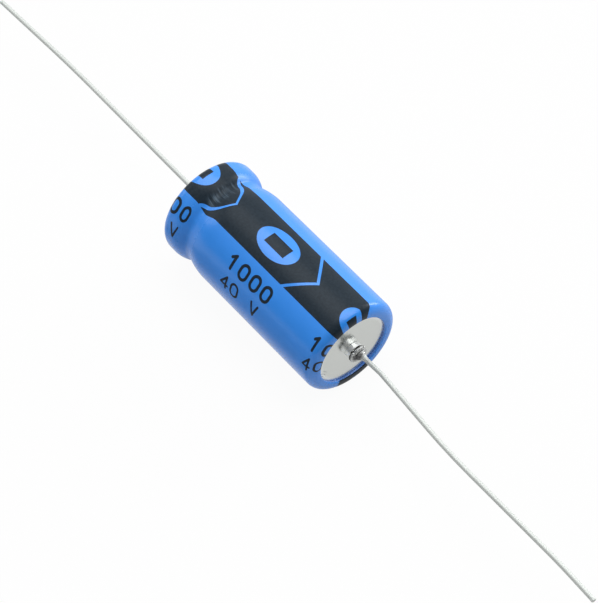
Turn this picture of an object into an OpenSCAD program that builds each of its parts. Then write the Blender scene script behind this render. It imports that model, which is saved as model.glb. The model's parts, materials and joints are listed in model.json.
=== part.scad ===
// Axial aluminium electrolytic capacitor: a beaded can in a shrunk-on sleeve, closed by a
// rubber seal, with a wound element inside and a wire lead welded to a stud at each end.
// The case lies along X with its negative end at +X, and the origin is the middle of the case.

/* [Case] */
// Diameter over the sleeve, on the straight wall
case_d = 13; // [10:0.5:18]
// Length over the sleeve's two lips
case_l = 28; // [22:0.5:45]

/* [Sleeve] */
// Wall of the sleeve on the straight part
sleeve_t = 0.18; // [0.1:0.02:0.3]
// Wall of the sleeve where it has shrunk in over the ends
lip_t = 0.36; // [0.3:0.02:0.5]
// Width of the ring that the sleeve covers at each end
lip_w = 1.7; // [1.5:0.1:2.4]
// Rounding of the sleeve over the can's base
base_shoulder_r = 1.2; // [0.9:0.1:1.5]
// Rounding of the sleeve over the rolled rim
rim_shoulder_r = 1.05; // [0.8:0.05:1.4]
// Slack between the sleeve and the can
shrink_gap = 0.01; // [0.01:0.01:0.05]

/* [Can] */
// Wall of the can
can_t = 0.3; // [0.2:0.05:0.5]
// Thickness of the can's base
base_t = 0.4; // [0.3:0.05:0.8]
// Outer rounding of the base's edge
base_edge_r = 1; // [0.7:0.1:1.3]
// Outer radius of the rolled rim
curl_r = 1.05; // [0.8:0.05:1.3]

/* [Bead] */
// Distance of the bead's middle from the case's positive end
bead_at = 4.15; // [3.9:0.05:6]
// Depth of the bead below the straight wall
bead_depth = 0.57; // [0.3:0.01:0.9]
// Radius of the bead's hollow
bead_r = 1.1; // [0.7:0.1:2]
// Radius of the blend from the bead to the rolled rim
rim_blend_r = 2.8; // [1.5:0.1:3]
// Radius of the blend from the bead to the straight wall
wall_blend_r = 7.8; // [3:0.1:10]
// Swell of the wall between bead and rim over the straight wall
head_swell = 0.18; // [0:0.02:0.3]

/* [Seal] */
// Depth of the seal's outer face below the rolled rim
seal_inset = 0.35; // [0.1:0.05:0.8]
// Reach of the seal past the middle of the bead
seal_tail = 1.5; // [1:0.1:3]
// Slack between the seal and the metal that it grips
seal_gap = 0.02; // [0.01:0.01:0.05]

/* [Studs] */
// Diameter of the two studs
stud_d = 2.15; // [1.8:0.05:2.6]
// Length of each stud beyond the can's end
stud_l = 1.4; // [1:0.1:2]
// Thickness of the ring of metal squeezed out round each weld
flash_t = 0.6; // [0.3:0.05:0.7]
// Distance of that ring's middle from the stud's welded end
flash_back = 0.36; // [0.35:0.01:0.5]
// Width of the positive stud's flattened inner end
blade_w = 2.6; // [2.4:0.1:3.2]
// Thickness of that flattened end
blade_t = 0.6; // [0.4:0.1:1]
// Length of that flattened end
blade_l = 1.2; // [0.8:0.1:1.3]

/* [Leads] */
// Diameter of the lead wire
lead_d = 0.6; // [0.4:0.1:0.9]
// Radius of the bend beside the negative lead's weld, at the wire's middle
bend_r = 5; // [3:0.5:10]
// Bare edge of a stud's end beside the weld
weld_edge = 0.05; // [0:0.01:0.1]
// Length of the weld's cone along the wire
weld_l = 1.3; // [1:0.1:2.5]
// Offset of each lead's weld on its stud
weld_shift = 0.2; // [0:0.05:0.3]
// Angle at which the positive lead leaves its stud
anode_exit_deg = 0.4; // [-10:0.1:10]
// First straight run of the positive lead
anode_run = 22.1; // [10:0.1:40]
// Turn of the sweep after that run
anode_turn_deg = -2.15; // [-10:0.05:10]
// Radius of that sweep
anode_sweep_r = 250; // [50:10:400]
// Last straight run of the positive lead
anode_end_run = 10; // [5:0.1:30]
// Angle at which the negative lead leaves its stud
cathode_exit_deg = 1.8; // [-10:0.1:10]
// First straight run of the negative lead
cathode_run = 3.1; // [2:0.1:8]
// Turn after that run
cathode_turn_deg = -6.5; // [-30:0.5:30]
// Second straight run of the negative lead
cathode_mid_run = 8.6; // [5:0.1:20]
// Turn of the sweep after that run
cathode_return_deg = 4.6; // [-20:0.1:20]
// Third straight run of the negative lead
cathode_long_run = 12.1; // [5:0.1:25]
// Turn of the last sweep
cathode_droop_deg = -2.6; // [-20:0.1:20]
// Radius of the negative lead's two sweeps
cathode_sweep_r = 100; // [50:10:400]
// Last straight run of the negative lead
cathode_end_run = 3.6; // [2:0.1:20]

/* [Winding] */
// Slack between the taped winding and the can
wind_gap = 0.12; // [0.05:0.01:0.3]
// Thickness of the tape that closes the winding
tape_t = 0.1; // [0.05:0.01:0.2]
// Bare winding at each end of the tape
tape_margin = 3; // [1:0.5:6]
// Diameter of the hollow left by the winding spindle
core_d = 2.6; // [1.5:0.1:4]
// Room between the seal and the winding
seal_room = 1.6; // [1.5:0.1:3]
// Room between the winding and the can's base
base_room = 0.9; // [0.8:0.1:2]
// Width of the tabs that join the foils to the terminals
tab_w = 2.4; // [1.5:0.1:3]
// Thickness of the tabs
tab_t = 0.25; // [0.15:0.05:0.3]
// Inside radius of the folds in the tabs
tab_fold_r = 0.25; // [0.1:0.05:0.3]
// Distance from the axis at which each tab leaves the winding
tab_at = 3.2; // [2.6:0.1:4]
// Length of the positive tab that lies on the stud's flattened end
tab_seat = 0.4; // [0.2:0.05:0.5]
// Reach of the negative tab past the middle of the can's base
tab_reach = 1.2; // [0.5:0.1:2.5]

/* [Hidden] */
$fn = 96;

// Places along the axis, from the positive end to the negative end
rim_x = -case_l / 2 + lip_t;
curl_x = rim_x + curl_r;
bead_x = -case_l / 2 + bead_at;
seal_out_x = rim_x + seal_inset;
seal_in_x = bead_x + seal_tail;
base_x = case_l / 2 - lip_t;
base_in_x = base_x - base_t;
wind_end_x = base_in_x - base_room;

// Radii of the can's outside: straight wall, head between bead and rim, and bead
can_r = case_d / 2 - sleeve_t;
head_r = can_r + head_swell;
bead_bottom_r = can_r - bead_depth;
curl_mid_r = head_r - curl_r;
lip_r = case_d / 2 - lip_w;
stud_r = stud_d / 2;
weld_d = stud_d - 2 * (weld_shift + weld_edge);

// Half widths of the bead: arcs that touch have their middles one sum of radii apart
function blend_reach(sum, drop) = sqrt(2 * sum * drop - drop * drop);
bead_rim_reach = blend_reach(bead_r + rim_blend_r, bead_depth + head_swell);
bead_wall_reach = blend_reach(bead_r + wall_blend_r, bead_depth);
wind_x = max(seal_in_x + seal_room, bead_x + bead_wall_reach);
tape_r = can_r - can_t - wind_gap;
wind_r = tape_r - tape_t;
fold_out_r = tab_fold_r + tab_t;
fold_steps = 8;

// Overrun of a cut past the faces that it opens
cut_over = 1;

// Straight runs of wire enter their bends by a lap, and the wire swells a little where it is bent
bend_lap = 0.1;
bend_swell = 0.01;

// Turns a half section about the X axis: the section's first axis is the radius, its second is X
module turned() rotate([0, 90, 0]) rotate_extrude() children();

// Hollow of the bead for an outline that lies grow outside the can
module bead_hollow(grow) {
    outside_r = case_d;
    difference() {
        polygon([[outside_r, bead_x - bead_rim_reach],
                 [head_r - rim_blend_r, bead_x - bead_rim_reach],
                 [bead_bottom_r + bead_r, bead_x],
                 [can_r - wall_blend_r, bead_x + bead_wall_reach],
                 [outside_r, bead_x + bead_wall_reach]]);
        translate([head_r - rim_blend_r, bead_x - bead_rim_reach]) circle(rim_blend_r + grow);
        translate([can_r - wall_blend_r, bead_x + bead_wall_reach]) circle(wall_blend_r + grow);
    }
    translate([bead_bottom_r + bead_r, bead_x]) circle(bead_r - grow);
}

// Half section of the beaded barrel, grown by grow and cut square at both ends
module barrel(grow, from_x, to_x) difference() {
    union() {
        translate([0, from_x]) square([head_r + grow, bead_x - from_x]);
        translate([0, bead_x]) square([can_r + grow, to_x - bead_x]);
    }
    bead_hollow(grow);
}

// Corner to take off a half section whose wall is at wall_r and whose end is at end_x
module corner_off(wall_r, end_x, edge_r, side) difference() {
    translate([wall_r - edge_r, end_x - (side > 0 ? edge_r : cut_over)]) square(edge_r + cut_over);
    translate([wall_r - edge_r, end_x - side * edge_r]) circle(edge_r);
}

// Filled half section of the can's outside, grown by grow
module can_section(grow) difference() {
    barrel(grow, rim_x - grow, base_x + grow);
    corner_off(can_r + grow, base_x + grow, base_edge_r + grow, 1);
    corner_off(head_r + grow, rim_x - grow, curl_r + grow, -1);
}

module sleeve() color([0.25, 0.52, 0.93]) turned() difference() {
    barrel(sleeve_t, -case_l / 2, case_l / 2);
    corner_off(can_r + sleeve_t, case_l / 2, base_shoulder_r, 1);
    corner_off(head_r + sleeve_t, -case_l / 2, rim_shoulder_r, -1);
    can_section(shrink_gap);
    translate([0, -case_l]) square([lip_r, 2 * case_l]);
}

// Ring section of the rolled rim: a half turn that folds the wall in towards the axis
module curl_section(outer_r, inner_r) translate([curl_mid_r, curl_x]) difference() {
    circle(outer_r);
    circle(inner_r);
    translate([-2 * outer_r, 0]) square(4 * outer_r);
}

module can() color([0.78, 0.78, 0.76]) turned() {
    difference() {
        barrel(0, curl_x, base_x);
        corner_off(can_r, base_x, base_edge_r, 1);
        difference() {
            barrel(-can_t, curl_x - cut_over, base_in_x);
            corner_off(can_r - can_t, base_in_x, max(base_edge_r - can_t, can_t), 1);
        }
    }
    curl_section(curl_r, curl_r - can_t);
}

module end_seal() color([0.12, 0.12, 0.12]) turned() difference() {
    union() {
        barrel(-can_t - seal_gap, curl_x + seal_gap, seal_in_x);
        translate([curl_mid_r, curl_x + seal_gap])
            difference() {
                circle(curl_r - can_t - seal_gap);
                translate([-2 * curl_r, 0]) square(4 * curl_r);
            }
        translate([0, seal_out_x])
            square([curl_mid_r - curl_r - seal_gap, curl_x + seal_gap - seal_out_x]);
    }
    translate([0, -case_l]) square([stud_r + seal_gap, 2 * case_l]);
}

// Round stud along +X from 0, with the ring of squeezed metal just behind its welded end
module stud(len) turned() {
    square([stud_r, len]);
    translate([stud_r, len - flash_back]) circle(d = flash_t);
}

module anode_stud() color([0.82, 0.82, 0.8]) {
    translate([seal_in_x, 0, 0]) mirror([1, 0, 0]) stud(seal_in_x - rim_x + stud_l);
    translate([seal_in_x, -blade_w / 2, -blade_t / 2]) cube([blade_l, blade_w, blade_t]);
}

module cathode_stud() color([0.82, 0.82, 0.8]) translate([base_x, 0, 0]) stud(stud_l);

// Points of an arc about mid, from one angle to another
function arc(mid, r, from, to) =
    [for (k = [0:fold_steps]) let (a = from + (to - from) * k / fold_steps) mid + r * [cos(a), sin(a)]];

// Tab drawn edge on in the XZ plane, given its width along Y
module ribbon(outline) rotate([90, 0, 0]) translate([0, 0, -tab_w / 2])
    linear_extrude(tab_w) polygon(outline);

// Leaves the winding, crosses towards the axis and turns again to lie on the stud's blade
module anode_tab() color([0.7, 0.7, 0.68]) {
    seat_z = blade_t / 2;
    low_fold = [seal_in_x + tab_seat, seat_z + fold_out_r];
    high_fold = [seal_in_x + tab_seat + tab_fold_r + fold_out_r, tab_at + tab_t - fold_out_r];
    ribbon(concat([[seal_in_x + seal_gap, seat_z]],
                  arc(low_fold, fold_out_r, -90, 0), arc(high_fold, tab_fold_r, 180, 90),
                  [[wind_x, tab_at], [wind_x, tab_at + tab_t]],
                  arc(high_fold, fold_out_r, 90, 180), arc(low_fold, tab_fold_r, 0, -90),
                  [[seal_in_x + seal_gap, seat_z + tab_t]]));
}

// Leaves the winding and folds flat onto the inside of the can's base
module cathode_tab() color([0.7, 0.7, 0.68]) {
    base_fold = [base_in_x - fold_out_r, -tab_at - tab_t + fold_out_r];
    ribbon(concat([[wind_end_x, -tab_at - tab_t]], arc(base_fold, fold_out_r, -90, 0),
                  [[base_in_x, tab_reach], [base_in_x - tab_t, tab_reach]],
                  arc(base_fold, tab_fold_r, 0, -90), [[wind_end_x, -tab_at]]));
}

module winding() color([0.86, 0.8, 0.68]) turned()
    translate([core_d / 2, wind_x]) square([wind_r - core_d / 2, wind_end_x - wind_x]);

module winding_tape() color([0.85, 0.72, 0.45]) turned()
    translate([wind_r, wind_x + tape_margin])
        square([tape_t, wind_end_x - wind_x - 2 * tape_margin]);

// Wire along +X: straight runs joined by flat bends, each an angle and a radius.
// A positive angle heads towards +Y
module wire(runs, bends, at = 0) {
    enters = at > 0 ? bend_lap : 0;
    leaves = at < len(bends) ? bend_lap : 0;
    translate([-enters, 0, 0]) rotate([0, 90, 0]) cylinder(d = lead_d, h = enters + runs[at] + leaves);
    if (at < len(bends)) {
        angle = abs(bends[at][0]);
        r = bends[at][1];
        flip = [0, bends[at][0] < 0 ? 1 : 0, 0];
        translate([runs[at], 0, 0]) mirror(flip) {
            translate([0, r, 0]) rotate([0, 0, -90])
                rotate_extrude(angle = angle) translate([r, 0]) circle(d = lead_d + bend_swell);
            translate([r * sin(angle), r * (1 - cos(angle)), 0]) rotate([0, 0, angle])
                mirror(flip) wire(runs, bends, at + 1);
        }
    }
}

// Lead that leaves a stud's end at X = 0: a cone of weld metal, and the wire that it holds
module lead(exit, runs, bends) difference() {
    translate([0, weld_shift, 0]) rotate([0, 0, exit]) {
        rotate([0, 90, 0]) cylinder(d1 = weld_d, d2 = lead_d, h = weld_l);
        wire(runs, bends);
    }
    translate([-weld_d, -weld_d, -weld_d]) cube([weld_d, 2 * weld_d, 2 * weld_d]);
}

module anode_lead() color([0.8, 0.8, 0.8]) translate([rim_x - stud_l, 0, 0]) mirror([1, 0, 0])
    lead(anode_exit_deg, [anode_run, anode_end_run], [[anode_turn_deg, anode_sweep_r]]);

module cathode_lead() color([0.8, 0.8, 0.8]) translate([base_x + stud_l, 0, 0])
    lead(cathode_exit_deg, [cathode_run, cathode_mid_run, cathode_long_run, cathode_end_run],
         [[cathode_turn_deg, bend_r], [cathode_return_deg, cathode_sweep_r],
          [cathode_droop_deg, cathode_sweep_r]]);

sleeve();
can();
end_seal();
anode_stud();
anode_tab();
anode_lead();
winding();
winding_tape();
cathode_tab();
cathode_stud();
cathode_lead();
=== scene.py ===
"""Looks of an axial aluminium electrolytic capacitor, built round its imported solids.

Shapes are worked out in millimetres, and MM turns them into metres when a mesh is made. The case lies along
X with its negative end at +X. Angles round the case start at the top, +Z, and run towards the front, -Y.
"""
import json
import math

import bpy
import numpy as np
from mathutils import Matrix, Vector


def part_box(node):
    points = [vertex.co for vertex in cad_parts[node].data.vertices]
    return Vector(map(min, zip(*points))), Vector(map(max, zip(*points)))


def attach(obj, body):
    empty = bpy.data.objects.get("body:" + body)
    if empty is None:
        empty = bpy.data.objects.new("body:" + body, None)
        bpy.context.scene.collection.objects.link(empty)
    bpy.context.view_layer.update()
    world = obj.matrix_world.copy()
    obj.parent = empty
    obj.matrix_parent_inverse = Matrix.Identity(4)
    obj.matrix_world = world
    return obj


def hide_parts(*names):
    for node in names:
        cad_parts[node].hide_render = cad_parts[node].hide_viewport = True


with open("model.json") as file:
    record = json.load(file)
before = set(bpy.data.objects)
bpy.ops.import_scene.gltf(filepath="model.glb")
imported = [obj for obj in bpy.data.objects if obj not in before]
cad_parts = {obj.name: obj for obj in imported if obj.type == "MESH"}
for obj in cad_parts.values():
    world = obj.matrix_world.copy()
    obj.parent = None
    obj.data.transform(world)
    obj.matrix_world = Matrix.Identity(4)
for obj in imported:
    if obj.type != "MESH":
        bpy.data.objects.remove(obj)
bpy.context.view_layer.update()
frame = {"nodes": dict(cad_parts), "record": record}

MM = 0.001
TURN = 2 * math.pi

# Sizes that the frame gives, in millimetres


def node_box(node):
    """Lowest and highest corner of a CAD node, in millimetres."""
    low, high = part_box(node)
    return np.array(low) / MM, np.array(high) / MM


def mount_radius(name):
    """Radius of a round mount, in millimetres."""
    return next(m["dims"]["r_mm"] for m in frame["record"]["mounts"] if m["name"] == name)


case_r = mount_radius("case_clip")
wire_r = mount_radius("cathode_wire")
lip_x = node_box("sleeve")[1][0]
head_r = node_box("sleeve")[1][1]
base_x = node_box("can")[1][0]
stud_end_x = node_box("cathode_stud")[1][0]
blade_x = node_box("anode_stud")[1][0]
floor_z = node_box("sleeve")[0][2]

# Film of the sleeve, and the bead that it follows
film_t = 0.17
lip_seat = 0.01
lip_open_r = 4.8
lip_edge_r = 0.2
lip_t = lip_x - base_x - lip_seat
shoulder_from_x, lip_from_x = 12, 13
base_shoulder_r = 1.2
rim_shoulder_r = 1.05
bead_x = -9.85
bead_bottom_r = 5.93
bead_hollow_r = 0.92
rim_blend_r = 2.98
wall_blend_r = 7.98

# Unevenness of the film: how far each lip's edge wavers and is shifted, and the folds in the bead
lip_waver, lip_waver_l = 0.025, 9.0
lip_shift, lip_shift_deg = 0.13, 55.0
fold_h, fold_w = 0.006, 1.3
folds_x, folds_half_l = bead_x + 0.35, 2.1

# Print on the film: two stripes, which repeat with their signs along the film and half way round it
print_pitch = 15.2
print_stagger = -4.2
print_soft = 0.035
stripe_middle_t = math.radians(2.2) * case_r
stripe_half_w = 3.15
oval_s, oval_half_l, oval_half_w = 0.47, 3.19, 1.985
dash_s, dash_half_l, dash_half_w = 0.5, 1.725, 0.81
arrow_tip_s, arrow_stroke, arrow_slope = 7.93, 0.48, 0.93

# Rating beside each stripe: words, left end, foot, height and pen, then the width of a digit for its height,
# the gap between digits in pens, how far back the repeat starts, and how far the far side is printed
rating_lines = [("1000", -3.05, 6.33, 2.16, 0.40), ("40 V", -2.95, 9.17, 1.98, 0.30)]
digit_shape = 0.69
digit_gap = 2.05
rating_start = print_pitch / 2 - 0.7
far_rating_s = 7.0

# Studs, and the welds and cut ends of the leads
stud_r = 1.075
flash_x = stud_end_x - 0.36
flash_r = 0.3
flash_swell = 0.05
dome_h = 0.25
dome_r = stud_r + 0.02
blade_root_x = 8.35
blade_taper_l = 0.4
blade_wider, blade_thinner, blade_squarer = 0.3, 0.7, 0.75
weld_r = 0.8
weld_l = 1.2
weld_shift = 0.2
weld_curve = 3.2
weld_sunk = 0.05
pinch_l, cut_l = 0.5, 0.05

# Leads: the angle at the stud, the straight runs, and each bend between them as degrees and radius
anode_lead = dict(exit_deg=0.4, runs=(22.1, 10.0), bends=((-2.15, 250.0),))
cathode_lead = dict(exit_deg=1.8, runs=(3.1, 8.6, 12.1, 3.6),
                    bends=((-6.5, 5.0), (4.6, 100.0), (-2.6, 100.0)))


# Surfaces


def surface(name, points, wrap=False, poles=(False, False), fields=None, uv=None):
    """Makes a mesh from a grid of points in millimetres, [row, column, xyz], closed from the last column to
    the first. wrap closes it from the last row to the first as well, and poles closes an end row with a flat
    fan to its middle. fields are values per point, and uv is a pair of grids with one more column, and with
    wrap one more row, than the points."""
    rows, columns = points.shape[:2]
    corner = points.reshape(-1, 3)
    i, j = np.meshgrid(np.arange(rows if wrap else rows - 1), np.arange(columns), indexing="ij")
    down, across = (i + 1) % rows, (j + 1) % columns
    around = [(i, j), (i, across), (down, across), (down, j)]
    quads = np.stack([row * columns + column for row, column in around], -1).reshape(-1, 4)
    a, b, c, d = (corner[quads[:, k]] for k in range(4))
    outward = np.sum(np.cross(c - a, d - b) * (a + b + c + d)) > 0
    faces = (quads if outward else quads[:, ::-1]).tolist()
    for end, row in ((0, 0), (1, rows - 1)):
        if poles[end]:
            corner = np.vstack([corner, points[row].mean(0)])
            ring = row * columns + np.arange(columns)
            following = np.roll(ring, -1)
            fan = [following, ring] if outward == (end == 0) else [ring, following]
            faces += np.column_stack(fan + [np.full(columns, len(corner) - 1)]).tolist()
    mesh = bpy.data.meshes.new(name)
    mesh.from_pydata((corner * MM).tolist(), [], faces)
    mesh.polygons.foreach_set("use_smooth", np.arange(len(faces)) < len(quads))
    for key, values in (fields or {}).items():
        filled = np.append(values.ravel(), [values[0].mean()] * poles[0] + [values[-1].mean()] * poles[1])
        mesh.attributes.new(key, "FLOAT", "POINT").data.foreach_set("value", filled.astype(np.float32))
    if uv is not None:
        around = [(i, j), (i, j + 1), (i + 1, j + 1), (i + 1, j)]
        loops = np.stack([np.stack([grid[place] for grid in uv], -1) for place in around], 2)
        loops = loops.reshape(-1, 4, 2)
        loops = loops if outward else loops[:, ::-1]
        mesh.uv_layers.new(name="film").data.foreach_set("uv", loops.astype(np.float32).ravel())
    piece = bpy.data.objects.new(name, mesh)
    bpy.context.scene.collection.objects.link(piece)
    return piece


def arc(middle, radius, start, end, step):
    """Points of an arc about middle, from one angle to another in degrees, about step apart."""
    count = max(3, round(abs(math.radians(end - start)) * radius / step) + 1)
    angle = np.radians(np.linspace(start, end, count))
    return np.stack([middle[0] + radius * np.cos(angle), middle[1] + radius * np.sin(angle)], -1)


def straight(start, end, step):
    """Points of a straight run, about step apart, without its two ends."""
    count = max(2, round(math.dist(start, end) / step) + 1)
    return np.linspace(start, end, count)[1:-1]


def angle_to(middle, other):
    """Angle of the direction from one point to another, in degrees."""
    return math.degrees(math.atan2(other[1] - middle[1], other[0] - middle[0]))


def round_angles(columns):
    """Angles of evenly spaced columns, once round from 0."""
    return np.arange(columns) / columns * TURN


def turned(x, radius, angle):
    """Points of an outline turned about X: each radius laid off at each angle from the top."""
    return np.stack([x + 0 * angle, -radius * np.sin(angle), radius * np.cos(angle)], -1)


def lumps(points, size, seed, waves=24):
    """Bumpy field over points in space: plane waves about size long, in random directions, added up."""
    random = np.random.default_rng(seed)
    ways = random.normal(size=(waves, 3))
    ways /= np.linalg.norm(ways, axis=1, keepdims=True)
    ways *= TURN / size * random.uniform(0.6, 1.5, (waves, 1))
    phases = random.uniform(0, TURN, waves)
    return np.sin(points @ ways.T + phases).sum(-1) / math.sqrt(waves / 2)


def hump(value, middle, half_width):
    """Smooth hump that is 1 at middle and fades to 0 at half_width from it."""
    near = np.clip(1 - np.abs(value - middle) / half_width, 0, 1)
    return near * near * (3 - 2 * near)


def rise(value, start, end):
    """Smooth step from 0 at start to 1 at end."""
    share = np.clip((value - start) / (end - start), 0, 1)
    return share * share * (3 - 2 * share)


# Sleeve


def film_outline(fine=0.09, coarse=0.4, finest=0.02):
    """Outside of the film as points (x, radius), from the lip on the base to the lip on the rolled rim. Each
    lip has a straight cut edge, the shoulders are quarter circles, and three arcs that touch make the
    bead."""
    hollow = (bead_x, bead_bottom_r + bead_hollow_r)

    def touching(blend_r, top, side):
        """Middle of the arc that touches the bead's hollow on one side and rises to the radius top."""
        height = top - blend_r
        reach = math.sqrt((blend_r + bead_hollow_r) ** 2 - (hollow[1] - height) ** 2)
        return bead_x + side * reach, height

    rim_middle = touching(rim_blend_r, head_r, -1)
    wall_middle = touching(wall_blend_r, case_r, 1)
    hollow_start = angle_to(hollow, wall_middle) + 360
    hollow_end = angle_to(hollow, rim_middle) + 360
    seat_x = base_x + lip_seat
    base_corner = (lip_x - base_shoulder_r, case_r - base_shoulder_r)
    rim_corner = (rim_shoulder_r - lip_x, head_r - rim_shoulder_r)
    base_edge = (lip_x - lip_edge_r, lip_open_r + lip_edge_r)
    rim_edge = (lip_edge_r - lip_x, lip_open_r + lip_edge_r)
    return np.vstack([
        [(seat_x, lip_open_r)],
        straight((seat_x, lip_open_r), (base_edge[0], lip_open_r), fine),
        arc(base_edge, lip_edge_r, 270, 360, finest),
        straight((lip_x, base_edge[1]), (lip_x, base_corner[1]), fine),
        arc(base_corner, base_shoulder_r, 0, 90, fine),
        straight((base_corner[0], case_r), (wall_middle[0], case_r), coarse),
        arc(wall_middle, wall_blend_r, 90, angle_to(wall_middle, hollow), fine)[:-1],
        arc(hollow, bead_hollow_r, hollow_start, hollow_end, fine),
        arc(rim_middle, rim_blend_r, angle_to(rim_middle, hollow), 90, fine)[1:],
        straight((rim_middle[0], head_r), (rim_corner[0], head_r), fine),
        arc(rim_corner, rim_shoulder_r, 90, 180, fine),
        straight((-lip_x, rim_corner[1]), (-lip_x, rim_edge[1]), fine),
        arc(rim_edge, lip_edge_r, 180, 270, finest),
        straight((rim_edge[0], lip_open_r), (-seat_x, lip_open_r), fine),
        [(-seat_x, lip_open_r)],
    ])


def outward_normals(outline):
    """Unit normals of the film's outline: its direction turned by a quarter."""
    tangent = np.gradient(outline, axis=0)
    tangent /= np.linalg.norm(tangent, axis=1, keepdims=True)
    return np.stack([tangent[:, 1], -tangent[:, 0]], -1)


def film_lengths(outline):
    """Place of each outline point along the film: how far it is from the case's middle, growing to +X."""
    steps = np.linalg.norm(np.diff(outline, axis=0), axis=1)
    length = np.concatenate([[0], np.cumsum(steps)])
    middle = np.argmin(np.abs(outline[:, 0]))
    return outline[middle, 0] + length[middle] - length


def drawn_print(s, angle):
    """Place of each film point in the flat print, (s, t). Shrinking drew the film along into the bead and
    over the shoulder. In the bead the stripes spread towards the blue, and on the shoulder one edge is drawn
    in."""
    into_wall_side = 0.58 * hump(s, -8.45, 1.6)
    into_rim_side = 0.42 * hump(s, -10.75, 1.3)
    over_shoulder = 0.25 * rise(s, 11.6, 13.6)
    spread = hump(s, -9.5, 2.0) * (0.42 * np.sin(2 * angle - 2 * stripe_middle_t / case_r) + 0.07)
    drawn_in = 0.6 * rise(s, 13.2, 14.4) * hump(angle * case_r, -3.0, 4.6)
    return s - into_wall_side + into_rim_side + over_shoulder, angle * case_r - spread - drawn_in


def make_sleeve(columns=360):
    """Film turned about the axis. Its inside is the outside between the lips, moved in by the wall, which is
    thicker at the lips. Shallow folds run along the case in the bead, and the edges of the lips wander."""
    outline = film_outline()
    normal = outward_normals(outline)
    s = film_lengths(outline)
    from_middle, radius = np.abs(outline[:, 0]), outline[:, 1]
    thicker = rise(np.abs(normal[:, 0]), 0.1, 0.95) * (from_middle > shoulder_from_x)
    inside = outline - normal * (film_t + (lip_t - film_t) * thicker)[:, None]
    inside[:, 0] = np.clip(inside[:, 0], -base_x - lip_seat, base_x + lip_seat)
    back = np.flatnonzero(radius > lip_open_r + lip_edge_r + 0.05)[::-3]

    turn_start = -TURN / 2
    angle = round_angles(columns) + turn_start
    ring = turned(0.0, case_r, angle)
    edge = lip_waver * lumps(ring, lip_waver_l, 7) + lip_shift * np.cos(angle - math.radians(lip_shift_deg))
    near_edge = hump(radius, lip_open_r, 0.9)[:, None] * (from_middle > lip_from_x)[:, None]
    folds = fold_h * hump(outline[:, 0], folds_x, folds_half_l)[:, None] * lumps(ring, fold_w, 3)
    outer = outline[:, None] + normal[:, None] * folds[..., None]
    inner = np.repeat(inside[back][:, None], columns, 1)
    outer[..., 1] += near_edge * edge
    inner[..., 1] += near_edge[back] * edge
    loop = np.concatenate([outer, inner])

    seam_angle = np.append(angle, turn_start + TURN)
    uv = drawn_print(*np.meshgrid(np.concatenate([s, s[back], s[:1]]), seam_angle, indexing="ij"))
    cut_edge = 0.9 * (radius < lip_open_r + 0.13 * lip_edge_r)
    unprinted = np.repeat(np.concatenate([cut_edge, np.ones(len(back))])[:, None], columns, 1)
    return surface("sleeve_film", turned(loop[..., 0], loop[..., 1], angle), wrap=True,
                   fields={"unprinted": unprinted}, uv=uv)


# Studs and leads


def stud_rows(from_x):
    """Outline of a stud from from_x to its welded end, as columns x and radius: straight, then an arc of an
    ellipse for the low ring of squeezed metal, then the dome of the end, a cubic down to the middle."""
    swell = arc((0, 0), 1.0, 180, 75, 0.08) * (flash_r, flash_swell)
    dome = np.linspace(1, 0.1, 26)
    outline = np.vstack([
        [(from_x, stud_r)],
        straight((from_x, stud_r), (flash_x - flash_r, stud_r), 0.06),
        swell + (flash_x, stud_r),
        np.stack([stud_end_x - dome_h * dome ** 3, dome_r * dome], -1),
    ])
    return outline[:, :1], outline[:, 1:]


def roughen_weld(points, seed):
    """Adds the grain of the squeezed ring, and gives how burnt each point is, on the ring, and how melted,
    within it."""
    x, radius = np.abs(points[..., 0]), np.hypot(points[..., 1], points[..., 2])
    waver = 0.04 * lumps(points, 0.5, seed + 2)
    seam = (x - flash_x + waver) / flash_r
    squeezed = rise(seam, -1.0, -0.8)
    melted = rise(seam, -0.4, 0.0)
    away = points * np.array([0, 1, 1]) / np.maximum(radius, 0.1)[..., None]
    grain = 0.035 * lumps(points, 0.42, seed) + 0.02 * lumps(points, 0.2, seed + 1)
    return points + away * (squeezed * grain)[..., None], dict(burnt=squeezed - melted, melted=melted)


def make_cathode_stud(columns=144):
    """Stud on the can's base: its outline turned about X."""
    points, fields = roughen_weld(turned(*stud_rows(base_x), round_angles(columns)), 11)
    return surface("cathode_stud_turned", points, poles=(True, True), fields=fields)


def make_anode_stud(columns=144):
    """Stud through the seal: the same outline at the other end, led back to a flattened blade. The blade's
    section is a superellipse whose half widths and squareness change along X."""
    angle = round_angles(columns)
    inner_x = np.linspace(-blade_x, blade_root_x, 28)[:-1, None]
    flat = 1 - rise(inner_x, blade_root_x - blade_taper_l, blade_root_x)
    half_y = stud_r + blade_wider * flat
    half_z = stud_r - blade_thinner * flat
    square = 1 - blade_squarer * flat
    cos, sin = np.cos(angle), np.sin(angle)
    y = half_y * np.sign(sin) * np.abs(sin) ** square
    z = half_z * np.sign(cos) * np.abs(cos) ** square
    blade = np.stack([inner_x + 0 * angle, y, z], -1)
    rod = turned(*stud_rows(blade_root_x), -angle)
    points, fields = roughen_weld(np.concatenate([blade, rod]), 23)
    points[..., 0] *= -1
    return surface("anode_stud_turned", points, poles=(True, True), fields=fields)


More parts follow.
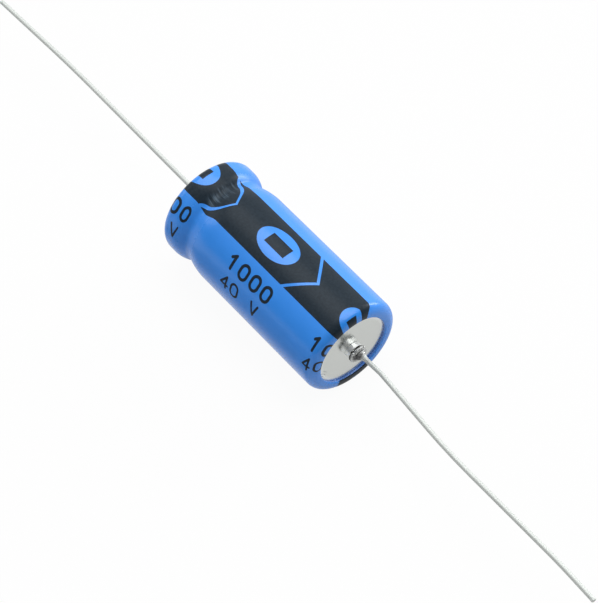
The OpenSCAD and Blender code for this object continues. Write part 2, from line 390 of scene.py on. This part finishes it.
def centreline(exit_deg, runs, bends, fine_l=2.5, tip_l=0.6):
    """Middle of a lead from its stud's end: positions, headings and lengths along it. The heading turns
    evenly through each bend, an angle and a radius, and its cosine and sine add up to the position. Rows lie
    closer over the first fine_l and the last tip_l."""
    arcs = [math.radians(abs(turn)) * radius for turn, radius in bends]
    total = sum(runs) + sum(arcs)
    length = np.concatenate([np.arange(0, fine_l, 0.035), np.arange(fine_l, total - tip_l, 0.14),
                             np.linspace(total - tip_l, total, 25)])
    heading = np.full_like(length, math.radians(exit_deg))
    reached = 0.0
    for run, reach, (turn, _) in zip(runs, arcs, bends):
        heading += math.radians(turn) * np.clip((length - reached - run) / reach, 0, 1)
        reached += run + reach
    gap = np.diff(length)
    ahead = (heading[1:] + heading[:-1]) / 2
    x = stud_end_x + np.concatenate([[0], np.cumsum(np.cos(ahead) * gap)])
    y = weld_shift + np.concatenate([[0], np.cumsum(np.sin(ahead) * gap)])
    return x, y, heading, length


def make_lead(name, side, seed, lead, columns=40):
    """Round wire carried along its centreline. It swells into lumpy weld metal at the stud, and its far end
    is pinched by the cutter."""
    x, y, heading, length = centreline(**lead)
    angle = round_angles(columns)
    weld = np.clip(1 - length / weld_l, 0, 1) ** weld_curve
    radius = (wire_r + (weld_r - wire_r) * weld)[:, None]
    pinch = rise(length, length[-1] - pinch_l, length[-1])[:, None]
    cut = np.clip(1 - (length[-1] - length) / cut_l, 0, 1)[:, None]
    section_r = radius * (1 - 0.12 * cut)
    across = section_r * np.cos(angle) * (1 + 0.06 * pinch)
    upward = section_r * np.sin(angle) * (1 - 0.2 * pinch)
    points = np.stack([x[:, None] - np.sin(heading)[:, None] * across,
                       y[:, None] + np.cos(heading)[:, None] * across, upward], -1)
    spine = np.stack([x, y, 0 * x], -1)[:, None]
    grain = 0.07 * lumps(points, 0.8, seed) + 0.03 * lumps(points, 0.3, seed + 1)
    lumpy = np.minimum(1, 1.5 * weld)[:, None] * grain
    points = spine + (points - spine) * (1 + lumpy)[..., None]
    points[..., 0] = np.maximum(points[..., 0], stud_end_x - weld_sunk) * side
    welded = np.repeat(weld[:, None], columns, 1)
    return surface(name, points, poles=(True, True), fields={"welded": welded})


# Node trees


class Field:
    """Value that changes over a surface. It wraps an output socket, and sums with it add Math nodes."""

    def __init__(self, paint, socket):
        self.paint, self.socket = paint, socket

    def math(self, operation, first, second=0.0):
        return self.paint.add("Math", dict(operation=operation), {0: first, 1: second})

    def __add__(self, other):
        return self.math("ADD", self, other)

    def __sub__(self, other):
        return self.math("SUBTRACT", self, other)

    def __rsub__(self, other):
        return self.math("SUBTRACT", other, self)

    def __mul__(self, other):
        return self.math("MULTIPLY", self, other)

    def __truediv__(self, other):
        return self.math("DIVIDE", self, other)

    def __rtruediv__(self, other):
        return self.math("DIVIDE", other, self)

    def __pow__(self, other):
        return self.math("POWER", self, other)

    def __mod__(self, other):
        return self.math("FLOORED_MODULO", self, other)

    def __abs__(self):
        return self.math("ABSOLUTE", self)

    __radd__, __rmul__ = __add__, __mul__

    def least(self, other):
        return self.math("MINIMUM", self, other)

    def most(self, other):
        return self.math("MAXIMUM", self, other)

    def clamped(self):
        return self.paint.add("Clamp", {}, {"Value": self})

    def root(self):
        return self.math("SQRT", self)

    def step(self, start, end):
        """0 up to start, 1 from end on, and smooth between them. With start above end it falls instead."""
        return self.paint.add("MapRange", dict(interpolation_type="SMOOTHSTEP"),
                              {"Value": self, "From Min": start, "From Max": end})


class Paint:
    """Node tree of one material. add makes any node from its type, its settings and its sockets' values."""

    def __init__(self, tree):
        self.tree = tree
        tree.nodes.clear()

    def add(self, kind, settings, sockets, out=0):
        node = self.tree.nodes.new("ShaderNode" + kind)
        for key, value in settings.items():
            setattr(node, key, value)
        for key, value in sockets.items():
            if isinstance(value, Field):
                self.tree.links.new(value.socket, node.inputs[key])
            else:
                node.inputs[key].default_value = value
        return Field(self, node.outputs[out]) if node.outputs else node

    def parts(self, vector):
        """The three numbers of a vector."""
        return [self.add("SeparateXYZ", {}, {0: vector}, out=k) for k in range(3)]

    def place(self):
        """Point on the object, in millimetres."""
        point = self.add("TexCoord", {}, {}, out="Object")
        return self.add("VectorMath", dict(operation="SCALE"), {0: point, "Scale": 1 / MM})

    def stored(self, name):
        """Values that a piece's mesh holds at its points."""
        return self.add("Attribute", dict(attribute_name=name), {}, out="Fac")

    def noise(self, vector, size, detail=2.0, rough=0.5):
        """Cloudy values from 0 to 1 about size millimetres apart."""
        sockets = {"Vector": vector, "Scale": 1 / size, "Detail": detail, "Roughness": rough}
        return self.add("TexNoise", {}, sockets)

    def stretch(self, vector, x, y, z):
        """Vector with each of its numbers multiplied."""
        return self.add("VectorMath", dict(operation="MULTIPLY"), {0: vector, 1: (x, y, z)})

    def blend(self, share, low, high):
        """Colour between low and high."""
        return self.add("Mix", dict(data_type="RGBA"), {"Factor": share, 6: low, 7: high}, out=2)

    def bumps(self, height, strength=1.0):
        """Normal of a surface raised by height millimetres."""
        return self.add("Bump", {}, {"Height": height, "Distance": MM, "Strength": strength})

    def shader(self, **sockets):
        """Principled shader. Its sockets are named in small letters, such as base_color."""
        names = {key: key.replace("_", " ").title().replace("Ior", "IOR") for key in sockets}
        return self.add("BsdfPrincipled", {}, {names[key]: value for key, value in sockets.items()})

    def finish(self, shader):
        """Sends a shader to the output."""
        self.add("OutputMaterial", {}, {"Surface": shader})

    def shade(self, **sockets):
        """Makes the whole surface one Principled shader."""
        self.finish(self.shader(**sockets))


def new_paint(name):
    """Empty material and its node tree."""
    material = bpy.data.materials.new(name)
    material.use_nodes = True
    return material, Paint(material.node_tree)


def from_point(u, v, middle=(0.0, 0.0)):
    """Distance of (u, v) from a point: the root of the sum of two squares."""
    return ((u - middle[0]) ** 2 + (v - middle[1]) ** 2).root()


# Print of the sleeve

GLYPHS = {
    "0": [((0.5, 0.33), (0.5, 0.67))],
    "1": [((0.15, 0.76), (0.56, 1.0)), ((0.56, 1.0), (0.56, 0.0))],
    "4": [((0.74, 0.0), (0.74, 1.0)), ((0.74, 1.0), (0.0, 0.29)), ((0.0, 0.29), (1.0, 0.29))],
    "V": [((0.0, 1.0), (0.5, 0.0)), ((0.5, 0.0), (1.0, 1.0))],
}
RINGS = "0"


def from_stroke(u, v, start, end):
    """Distance of (u, v) from a straight stroke: from the nearest point between its two ends."""
    du, dv = end[0] - start[0], end[1] - start[1]
    share = (((u - start[0]) * du + (v - start[1]) * dv) / (du * du + dv * dv)).clamped()
    return from_point(u - share * du, v - share * dv, start)


def rating_ink(u, v):
    """Distance off the digits of the rating, less than 0 in them. Each is a few strokes, or for a nought the
    ring at one distance round a stroke."""
    nearest = None
    for words, left, foot, height, pen in rating_lines:
        tall, wide = height - pen, digit_shape * (height - pen)
        for k, letter in enumerate(words):
            corner = left + pen / 2 + k * (wide + digit_gap * pen), foot - pen / 2
            for stroke in GLYPHS.get(letter, []):
                start, end = [(corner[0] + wide * a, corner[1] - tall * b) for a, b in stroke]
                off = from_stroke(u, v, start, end)
                off = abs(off - wide / 2) - pen / 2 if letter in RINGS else off - pen / 2
                nearest = off if nearest is None else nearest.least(off)
    return nearest


def printed(off):
    """Ink inside an outline, from the distance off it, with an edge as soft as print."""
    return (0.5 - off / print_soft).clamped()


def repeated(s, start):
    """Place along the film in the repeat of the print that starts at -start."""
    return (s + start) % print_pitch - start


def print_mask(paint, flat):
    """Share of ink: stripes cut by arrow lines, ovals left bare in the stripes with a dash in each, and
    digits."""
    s, t, _ = paint.parts(flat)
    half_turn = math.pi * case_r
    around = (t - stripe_middle_t + half_turn / 2) / half_turn
    v = (around % 1 - 0.5) * half_turn
    far_side = abs(around - 0.5).step(0.49, 0.51)
    s = s - print_stagger * far_side
    aside = abs(v)
    stripe = printed(aside - stripe_half_w)
    ahead = repeated(s - arrow_tip_s + arrow_slope * aside, print_pitch / 2)
    arrow = printed(abs(ahead + arrow_stroke / 2) - arrow_stroke / 2)
    along = repeated(s - oval_s, print_pitch / 2)
    oval = printed((from_point(along / oval_half_l, v / oval_half_w) - 1) * oval_half_w)
    dash = printed((abs(along + oval_s - dash_s) - dash_half_l).most(aside - dash_half_w))
    unrated = far_side * abs(s).step(far_rating_s, far_rating_s + 0.1)
    digits = printed(rating_ink(repeated(s, rating_start), v)) * (1 - unrated)
    return (stripe * (1 - oval) * (1 - arrow)).most(dash).most(digits)


def film_paint():
    """Blue film under duller black print, a little duller where it is cut. In the bead it lies in fine
    pleats, where streaks on the ink are paler: partly thinned ink and partly a painted sheen of the lamp."""
    material, paint = new_paint("blue_shrink_film")
    bare = paint.stored("unprinted")
    flat = paint.add("UVMap", dict(uv_map="film"), {})
    ink = print_mask(paint, flat) * (1 - bare)
    t = paint.parts(flat)[1]
    point = paint.place()
    off_bead = abs(paint.parts(point)[0] - bead_x)
    bead, hollow = off_bead.step(2.2, 0.3), off_bead.step(1.2, 0.3)
    pleats = paint.noise(paint.stretch(flat, 0.2, 1, 1), 0.3, 2, 0.6)
    cloud = paint.noise(point, 2.5, 3)
    speck = paint.noise(point, 0.3, 3, 0.6)
    blue = paint.blend(cloud, (0.021, 0.22, 0.72, 1), (0.027, 0.24, 0.78, 1))
    blue = paint.blend(bare, blue, (0.09, 0.23, 0.68, 1))
    black = paint.blend(speck, (0.003, 0.009, 0.016, 1), (0.019, 0.031, 0.044, 1))
    # Painted sheen: pale blue-grey streaks on the ink in the bead's hollow, partly thinned ink and partly a
    # painted highlight of the lamp
    thin_ink_and_sheen = hollow * pleats.step(0.42, 0.75) * abs(t - stripe_middle_t).step(2.8, 1.2)
    black = paint.blend(thin_ink_and_sheen, black, (0.075, 0.112, 0.15, 1))
    normal = paint.bumps(0.003 * speck + 0.003 * ink + 0.016 * bead * pleats)
    film = paint.shader(base_color=blue, roughness=0.21 + 0.06 * speck + 0.07 * bead,
                        specular_ior_level=0.5, normal=normal)
    print_ink = paint.shader(base_color=black, roughness=0.26 + 0.1 * speck,
                             specular_ior_level=0.14, normal=normal)
    paint.finish(paint.add("MixShader", {}, {0: ink, 1: film, 2: print_ink}))
    return material


# Finishes of the metal and of the other pieces


def can_paint(scuff_at=(-4.35, -1.3), swing_at=(-5.2, -2.2), swing_pitch=0.34):
    """Satin drawn aluminium, faintly streaked, with a painted reflection that makes it paler at the edge of
    the base. The scuff on the base is a few short arcs about swing_at."""
    material, paint = new_paint("drawn_aluminium")
    point = paint.place()
    _, y, z = paint.parts(point)
    cloud = paint.noise(point, 1.6, 3)
    grain = paint.noise(paint.stretch(point, 1, 1, 0.15), 0.12, 2)
    radius = from_point(y, z)
    swing = (from_point(y, z, swing_at) + 0.12 * cloud) / swing_pitch
    scuff = abs(swing % 1 - 0.5).step(0.36, 0.46) * from_point(y, z, scuff_at).step(0.75, 0.35)
    scuff = scuff * radius.step(3.6, 4.2)
    color = paint.blend(cloud, (0.62, 0.64, 0.615, 1), (0.66, 0.68, 0.655, 1))
    # Painted reflection: the base is paler near the lip, lightening the dark it mirrors from the lip's
    # shaded wall
    color = paint.blend(0.45 * radius.step(4.2, 4.65), color, (0.88, 0.9, 0.9, 1))
    color = paint.blend(scuff * 0.75, color, (0.12, 0.12, 0.12, 1))
    rough = 0.16 + 0.06 * cloud + 0.3 * scuff + 0.1 * radius.step(4.15, 4.65)
    paint.shade(base_color=color, metallic=1.0, roughness=rough,
                normal=paint.bumps(0.003 * grain - 0.01 * scuff))
    return material


def melted_metal(paint, point, shade_at=(-0.45, 0.12)):
    """Colour, roughness and height of speckled weld metal, with painted shade darkening one side."""
    _, y, z = paint.parts(point)
    grain = paint.noise(point, 0.2, 3, 0.6)
    # Painted shade: a dark patch on the weld metal's front side, standing in for its reflection of the dark
    # front
    painted_shade = from_point(y, z, shade_at).step(0.75, 0.3)
    color = paint.blend(grain.step(0.32, 0.6), (0.27, 0.275, 0.27, 1), (0.6, 0.615, 0.605, 1))
    color = paint.blend(painted_shade * (1 - 0.3 * grain), color, (0.045, 0.045, 0.049, 1))
    return color, 0.36 + 0.25 * grain, 0.02 * grain


def stud_paint():
    """Bright drawn aluminium, dark and grainy on the ring that the weld burnt, speckled where it melted."""
    material, paint = new_paint("stud_aluminium")
    point = paint.place()
    burnt, melted = paint.stored("burnt"), paint.stored("melted")
    lines = paint.noise(paint.stretch(point, 0.1, 1, 1), 0.09, 2)
    grain = paint.noise(point, 0.13, 3, 0.65)
    clean = paint.blend(lines, (0.9, 0.91, 0.905, 1), (0.96, 0.97, 0.965, 1))
    dark = paint.blend(grain.step(0.44, 0.7), (0.012, 0.012, 0.011, 1), (0.19, 0.195, 0.182, 1))
    melt, melt_rough, melt_height = melted_metal(paint, point)
    color = paint.blend(melted, paint.blend(burnt, clean, dark), melt)
    rough = (0.4 + 0.06 * lines + burnt * (0.2 + 0.2 * grain)) * (1 - melted) + melted * melt_rough
    paint.shade(base_color=color, metallic=1.0, roughness=rough,
                normal=paint.bumps(0.001 * lines + 0.06 * burnt * grain + melted * melt_height))
    return material


def wire_paint():
    """Soft grey tin on the wire with fine lines along it, and speckled weld metal at the stud."""
    material, paint = new_paint("tinned_wire")
    point = paint.place()
    welded = paint.stored("welded").step(0.12, 0.45)
    lines = paint.noise(paint.stretch(point, 0.04, 1, 1), 0.12, 1)
    dull = paint.noise(paint.stretch(point, 0.4, 1, 1), 2.0, 2)
    tin = paint.blend(lines * 0.3 + dull * 0.7, (0.53, 0.555, 0.535, 1), (0.57, 0.595, 0.575, 1))
    melt, melt_rough, melt_height = melted_metal(paint, point)
    paint.shade(base_color=paint.blend(welded, tin, melt), metallic=0.5 + 0.5 * welded,
                roughness=(0.56 + 0.06 * dull) * (1 - welded) + welded * melt_rough,
                normal=paint.bumps(0.0003 * lines + welded * melt_height))
    return material


def rubber_paint():
    """Matt black rubber with a moulded grain."""
    material, paint = new_paint("seal_rubber")
    point = paint.place()
    grain = paint.noise(point, 0.18, 3)
    bloom = paint.noise(point, 1.4, 3)
    paint.shade(base_color=paint.blend(bloom, (0.012, 0.012, 0.012, 1), (0.032, 0.031, 0.03, 1)),
                roughness=0.62 + 0.2 * bloom, normal=paint.bumps(0.02 * grain))
    return material


def foil_paint():
    """Matt rolled foil, with fine lines."""
    material, paint = new_paint("tab_foil")
    point = paint.place()
    lines = paint.noise(paint.stretch(point, 0.1, 1, 0.1), 0.05, 2)
    paint.shade(base_color=paint.blend(lines, (0.46, 0.46, 0.45, 1), (0.58, 0.58, 0.56, 1)), metallic=1.0,
                roughness=0.4 + 0.1 * lines, normal=paint.bumps(0.004 * lines))
    return material


def winding_paint(turn_t=0.16):
    """Turns of damp paper, each turn_t thick, with dark edges of foil between them."""
    material, paint = new_paint("wound_paper")
    point = paint.place()
    _, y, z = paint.parts(point)
    radius = from_point(y, z) + 0.05 * paint.noise(point, 1.2)
    foil = abs((radius / turn_t) % 1 - 0.5).step(0.42, 0.5)
    damp = paint.noise(point, 2.0, 3)
    paper = paint.blend(damp, (0.40, 0.32, 0.2, 1), (0.58, 0.50, 0.36, 1))
    paint.shade(base_color=paint.blend(foil * 0.7, paper, (0.2, 0.2, 0.19, 1)), roughness=0.55 + 0.25 * damp,
                normal=paint.bumps(0.03 * foil))
    return material


def tape_paint():
    """Thin brown film tape with faint wrinkles."""
    material, paint = new_paint("closing_tape")
    point = paint.place()
    crease = paint.noise(paint.stretch(point, 1, 0.25, 0.25), 0.6, 2)
    paint.shade(base_color=paint.blend(crease, (0.52, 0.34, 0.1, 1), (0.66, 0.46, 0.17, 1)),
                roughness=0.3 + 0.15 * crease, normal=paint.bumps(0.01 * crease))
    return material


# The part's pieces

film, aluminium, bright, tin = film_paint(), can_paint(), stud_paint(), wire_paint()
new_pieces = [
    (make_sleeve(), "sleeve", "sleeve_film", film),
    (make_cathode_stud(), "cathode_stud", "stud_aluminium", bright),
    (make_anode_stud(), "anode_stud", "stud_aluminium", bright),
    (make_lead("cathode_lead_wire", 1, 31, cathode_lead), "cathode_lead", "tinned_wire", tin),
    (make_lead("anode_lead_wire", -1, 41, anode_lead), "anode_lead", "tinned_wire", tin),
]
for piece, node, slot, material in new_pieces:
    piece.data.materials.append(material)
    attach(piece, "root")
    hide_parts(node)

foil = foil_paint()
kept_nodes = dict(can=aluminium, end_seal=rubber_paint(), winding=winding_paint(), winding_tape=tape_paint(),
                  anode_tab=foil, cathode_tab=foil)
for node, material in kept_nodes.items():
    frame["nodes"][node].data.materials.clear()
    frame["nodes"][node].data.materials.append(material)

# Stage: a white floor, soft light from above and behind, and the camera


def make_floor(half=3.0, white_share=0.95, grey=0.36, shadow_grey=0.65):
    """Floor under the case, half of its width in metres. The camera sees it nearly white, with a faint
    shadow. Shiny pieces mostly see a painted tone instead of its own lighting: pale at the leads, just in
    front of the case and far behind it, a little greyer where the base mirrors it, and grey elsewhere. The
    grey close behind the case and by the base is a painted shadow of the case."""
    mesh = bpy.data.meshes.new("floor")
    z = floor_z * MM
    corners = [(-half, -half, z), (half, -half, z), (half, half, z), (-half, half, z)]
    mesh.from_pydata(corners, [], [(0, 1, 2, 3)])
    floor = bpy.data.objects.new("floor", mesh)
    bpy.context.scene.collection.objects.link(floor)
    material, paint = new_paint("white_floor")
    camera_ray = paint.add("LightPath", {}, {}, out="Is Camera Ray")
    glossy_ray = paint.add("LightPath", {}, {}, out="Is Glossy Ray")
    x, y, _ = paint.parts(paint.place())
    # Painted light and shade for shiny pieces: the grey close behind the case and by the base is a painted
    # shadow of the case
    in_front = (1 - abs(y + 7) / 7.5).clamped().step(0, 1)
    beside_case = 0.8 * in_front + 0.2 * y.step(-16, 0) + 0.8 * y.step(8, 26)
    by_base = 0.7 + 0.3 * abs(y - 2).step(6, 9)
    past_base, at_lead = x.step(11.8, 14.4), abs(x).step(19.5, 23)
    shown = (beside_case * (1 - past_base) + by_base * past_base) * (1 - at_lead) + 0.9 * at_lead
    tone = paint.blend(camera_ray.most(shown), (grey, grey, grey, 1), (1, 1, 1, 1))
    matt = paint.add("BsdfDiffuse", {}, {"Color": (shadow_grey, shadow_grey, shadow_grey, 1)})
    white = paint.add("Emission", {}, {"Color": tone, "Strength": 1.0})
    seen = camera_ray.most(glossy_ray) * white_share
    paint.finish(paint.add("MixShader", {}, {0: seen, 1: matt, 2: white}))
    mesh.materials.append(material)


def make_world(low_front=0.27, high_front=0.63, back=1.3, side_share=0.15, by_camera=0.3):
    """Soft light from all round: brightest from behind the case, weak from its negative end, and a little
    more round the camera. The camera itself sees plain white."""
    world = bpy.data.worlds.new("studio")
    bpy.context.scene.world = world
    world.use_nodes = True
    paint = Paint(world.node_tree)
    x, y, z = paint.parts(paint.add("TexCoord", {}, {}, out="Generated"))
    camera_ray = paint.add("LightPath", {}, {}, out="Is Camera Ray")
    front = low_front + (high_front - low_front) * z.step(0.1, 0.9)
    side = x.step(0.2, 0.8).most(x.step(-0.1, 0.6) * y.step(0.5, -0.3))
    level = (front + (back - front) * y.step(-0.5, 0.9)) * (1 - (1 - side_share) * side)
    level = level + by_camera * x.step(0.25, 0.5) * y.step(-0.1, -0.4) * z.step(0.0, 0.3)
    level = level + camera_ray * (1 - level)
    backdrop = paint.add("Background", {}, {"Color": (1, 1, 1, 1), "Strength": level})
    paint.add("OutputWorld", {}, {"Surface": backdrop})


def make_lamp(name, direction, distance, size, radiance):
    """Rectangular soft box that faces the case from a direction, with its distance and size in metres. Its
    power is radiance times area times pi."""
    lamp = bpy.data.lights.new(name, "AREA")
    lamp.shape = "RECTANGLE"
    lamp.size, lamp.size_y = size
    lamp.energy = radiance * size[0] * size[1] * math.pi
    stand = bpy.data.objects.new(name, lamp)
    way = Vector(direction).normalized()
    stand.location = way * distance
    stand.rotation_euler = way.to_track_quat("Z", "Y").to_euler()
    stand.visible_camera = False
    bpy.context.scene.collection.objects.link(stand)


def make_camera(azimuth_deg=50.848, elevation_deg=53.928, target=(3.924, 0.0, -1.138), distance=291.9,
                lens=148.16, nearest=0.01):
    """Camera at the photograph's view: a long lens that looks down on the case from its negative end.
    target, distance and lens are in millimetres, and nearest is in metres."""
    turn, lift = math.radians(azimuth_deg), math.radians(elevation_deg)
    back = Vector((math.sin(turn) * math.cos(lift), -math.cos(turn) * math.cos(lift), math.sin(lift)))
    camera = bpy.data.objects.new("camera", bpy.data.cameras.new("camera"))
    camera.data.lens = lens
    camera.data.clip_start = nearest
    camera.location = (Vector(target) + back * distance) * MM
    camera.rotation_euler = back.to_track_quat("Z", "Y").to_euler()
    bpy.context.scene.collection.objects.link(camera)
    bpy.context.scene.camera = camera


make_floor()
make_world()
make_lamp("top_box", direction=(-0.07, 0.24, 0.95), distance=0.69, size=(1.1, 0.46), radiance=2.5)
make_lamp("far_fill", direction=(-0.8, -0.35, 0.5), distance=0.6, size=(0.3, 0.3), radiance=1.7)
make_lamp("back_strip", direction=(0.06, 0.95, 0.22), distance=0.5, size=(0.1, 0.36), radiance=7.0)
make_camera()
bpy.context.scene.view_settings.view_transform = "Standard"
